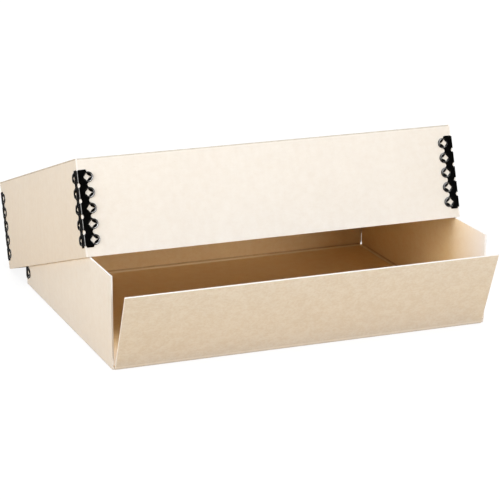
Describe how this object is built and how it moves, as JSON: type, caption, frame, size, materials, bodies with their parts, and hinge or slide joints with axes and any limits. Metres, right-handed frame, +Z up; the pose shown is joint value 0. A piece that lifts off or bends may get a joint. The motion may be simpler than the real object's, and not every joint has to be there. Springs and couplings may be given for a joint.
{
  "type": "drop-front archival box",
  "caption": "Low drop-front box of cream board with its loose lid propped open, held at the corners by perforated black steel stays.",
  "frame": {"origin": "centre of the tray's underside, on the surface the box stands on", "axes": "+X to the right along the drop front, +Y from the drop front to the rear wall, +Z up"},
  "size_m": [0.3382, 0.3503, 0.1546],
  "materials": {
    "board": "matte, uncoated, fine fibre",
    "stay_steel": "gloss black"
  },
  "bodies": {
    "tray": {"floor_panel": "board", "rear_wall": "board", "left_wall": "board", "right_wall": "board", "stay_rear_left": "stay_steel", "stay_rear_right": "stay_steel"},
    "drop_front": {"drop_front": "board"},
    "lid": {"lid_top": "board", "lid_front_wall": "board", "lid_rear_wall": "board", "lid_left_wall": "board", "lid_right_wall": "board", "lid_stay_front_left": "stay_steel", "lid_stay_front_right": "stay_steel", "lid_stay_rear_left": "stay_steel", "lid_stay_rear_right": "stay_steel"}
  },
  "joints": [
    {"name": "drop_front_fold", "type": "hinge", "parent": "tray", "child": "drop_front", "pos_m": [0, -0.12425, 0.00075], "axis": [1, 0, 0], "range_deg": [-22.5, 67.5]},
    {"name": "lid_lift", "type": "slide", "parent": "tray", "child": "lid", "axis": [0, 0, 1], "range_m": [0, 0.12]}
  ]
}
